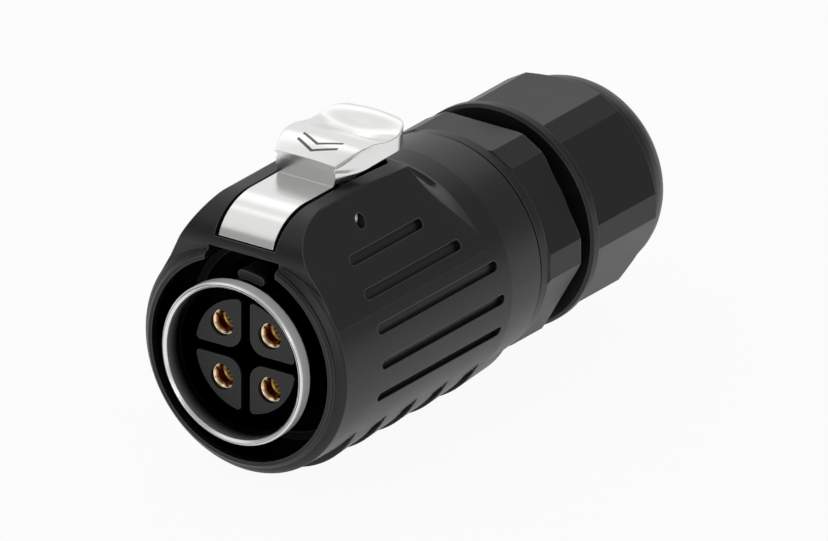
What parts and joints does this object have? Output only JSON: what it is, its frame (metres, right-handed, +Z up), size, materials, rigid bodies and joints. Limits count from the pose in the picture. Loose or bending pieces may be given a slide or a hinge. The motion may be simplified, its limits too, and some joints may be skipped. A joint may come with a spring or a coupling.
{
  "type": "latching circular cable plug",
  "caption": "Round cable plug with a sprung thumb latch, metal coupling sleeve, socket contacts in a divided insulator, ribbed grip shell and a hexagonal screw-down cable gland.",
  "frame": {"origin": "on the plug's axis, in the plane of the shell's front rim, inside the mouth of the metal sleeve", "axes": "+Y along the plug's axis from the mating face to the gland, +Z up through the thumb latch, +X to the right when looking along +Y"},
  "size_m": [0.0344, 0.086, 0.045],
  "materials": {
    "shell_black": "fine satin moulding",
    "insulator_black": "smooth moulding",
    "seal_rubber": "matt rubber",
    "satin_chrome": "satin plated",
    "spring_steel": "bright drawn",
    "contact_gold": "gilt"
  },
  "bodies": {
    "plug": {"shell": "shell_black", "coupling_sleeve": "satin_chrome", "face_seal": "seal_rubber", "insulator": "insulator_black", "insulator_retainer": "insulator_black", "socket_contact_1": "contact_gold", "socket_contact_2": "contact_gold", "socket_contact_3": "contact_gold", "socket_contact_4": "contact_gold", "crown_spring_1": "contact_gold", "crown_spring_2": "contact_gold", "crown_spring_3": "contact_gold", "crown_spring_4": "contact_gold", "terminal_screws": "spring_steel", "latch_pin": "spring_steel", "latch_spring": "spring_steel", "rear_body": "shell_black", "sealing_ring": "seal_rubber", "cable_clamp": "insulator_black", "cable_grommet": "seal_rubber"},
    "lever": {"latch": "satin_chrome"},
    "gland_slide": {"thrust_washer": "spring_steel"},
    "gland": {"gland_nut": "shell_black"}
  },
  "joints": [
    {"name": "latch_press", "type": "hinge", "parent": "plug", "child": "lever", "pos_m": [0, 0.0154, 0.018], "axis": [-1, 0, 0], "range_deg": [0, 7], "stiffness_Nm_per_rad": 0.12, "springref_deg": -14.32, "deforming": ["latch_spring"]},
    {"name": "gland_travel", "type": "slide", "parent": "plug", "child": "gland_slide", "axis": [0, 1, 0], "range_m": [-0.00251, 0.00301]},
    {"name": "gland_turn", "type": "hinge", "parent": "gland_slide", "child": "gland", "pos_m": [0, 0.0715, 0], "axis": [0, 1, 0], "range_deg": [-600, 720]}
  ],
  "couplings": [
    {"joint": "gland_travel", "follows": "gland_turn", "m_per_rad": 0.00023873}
  ]
}
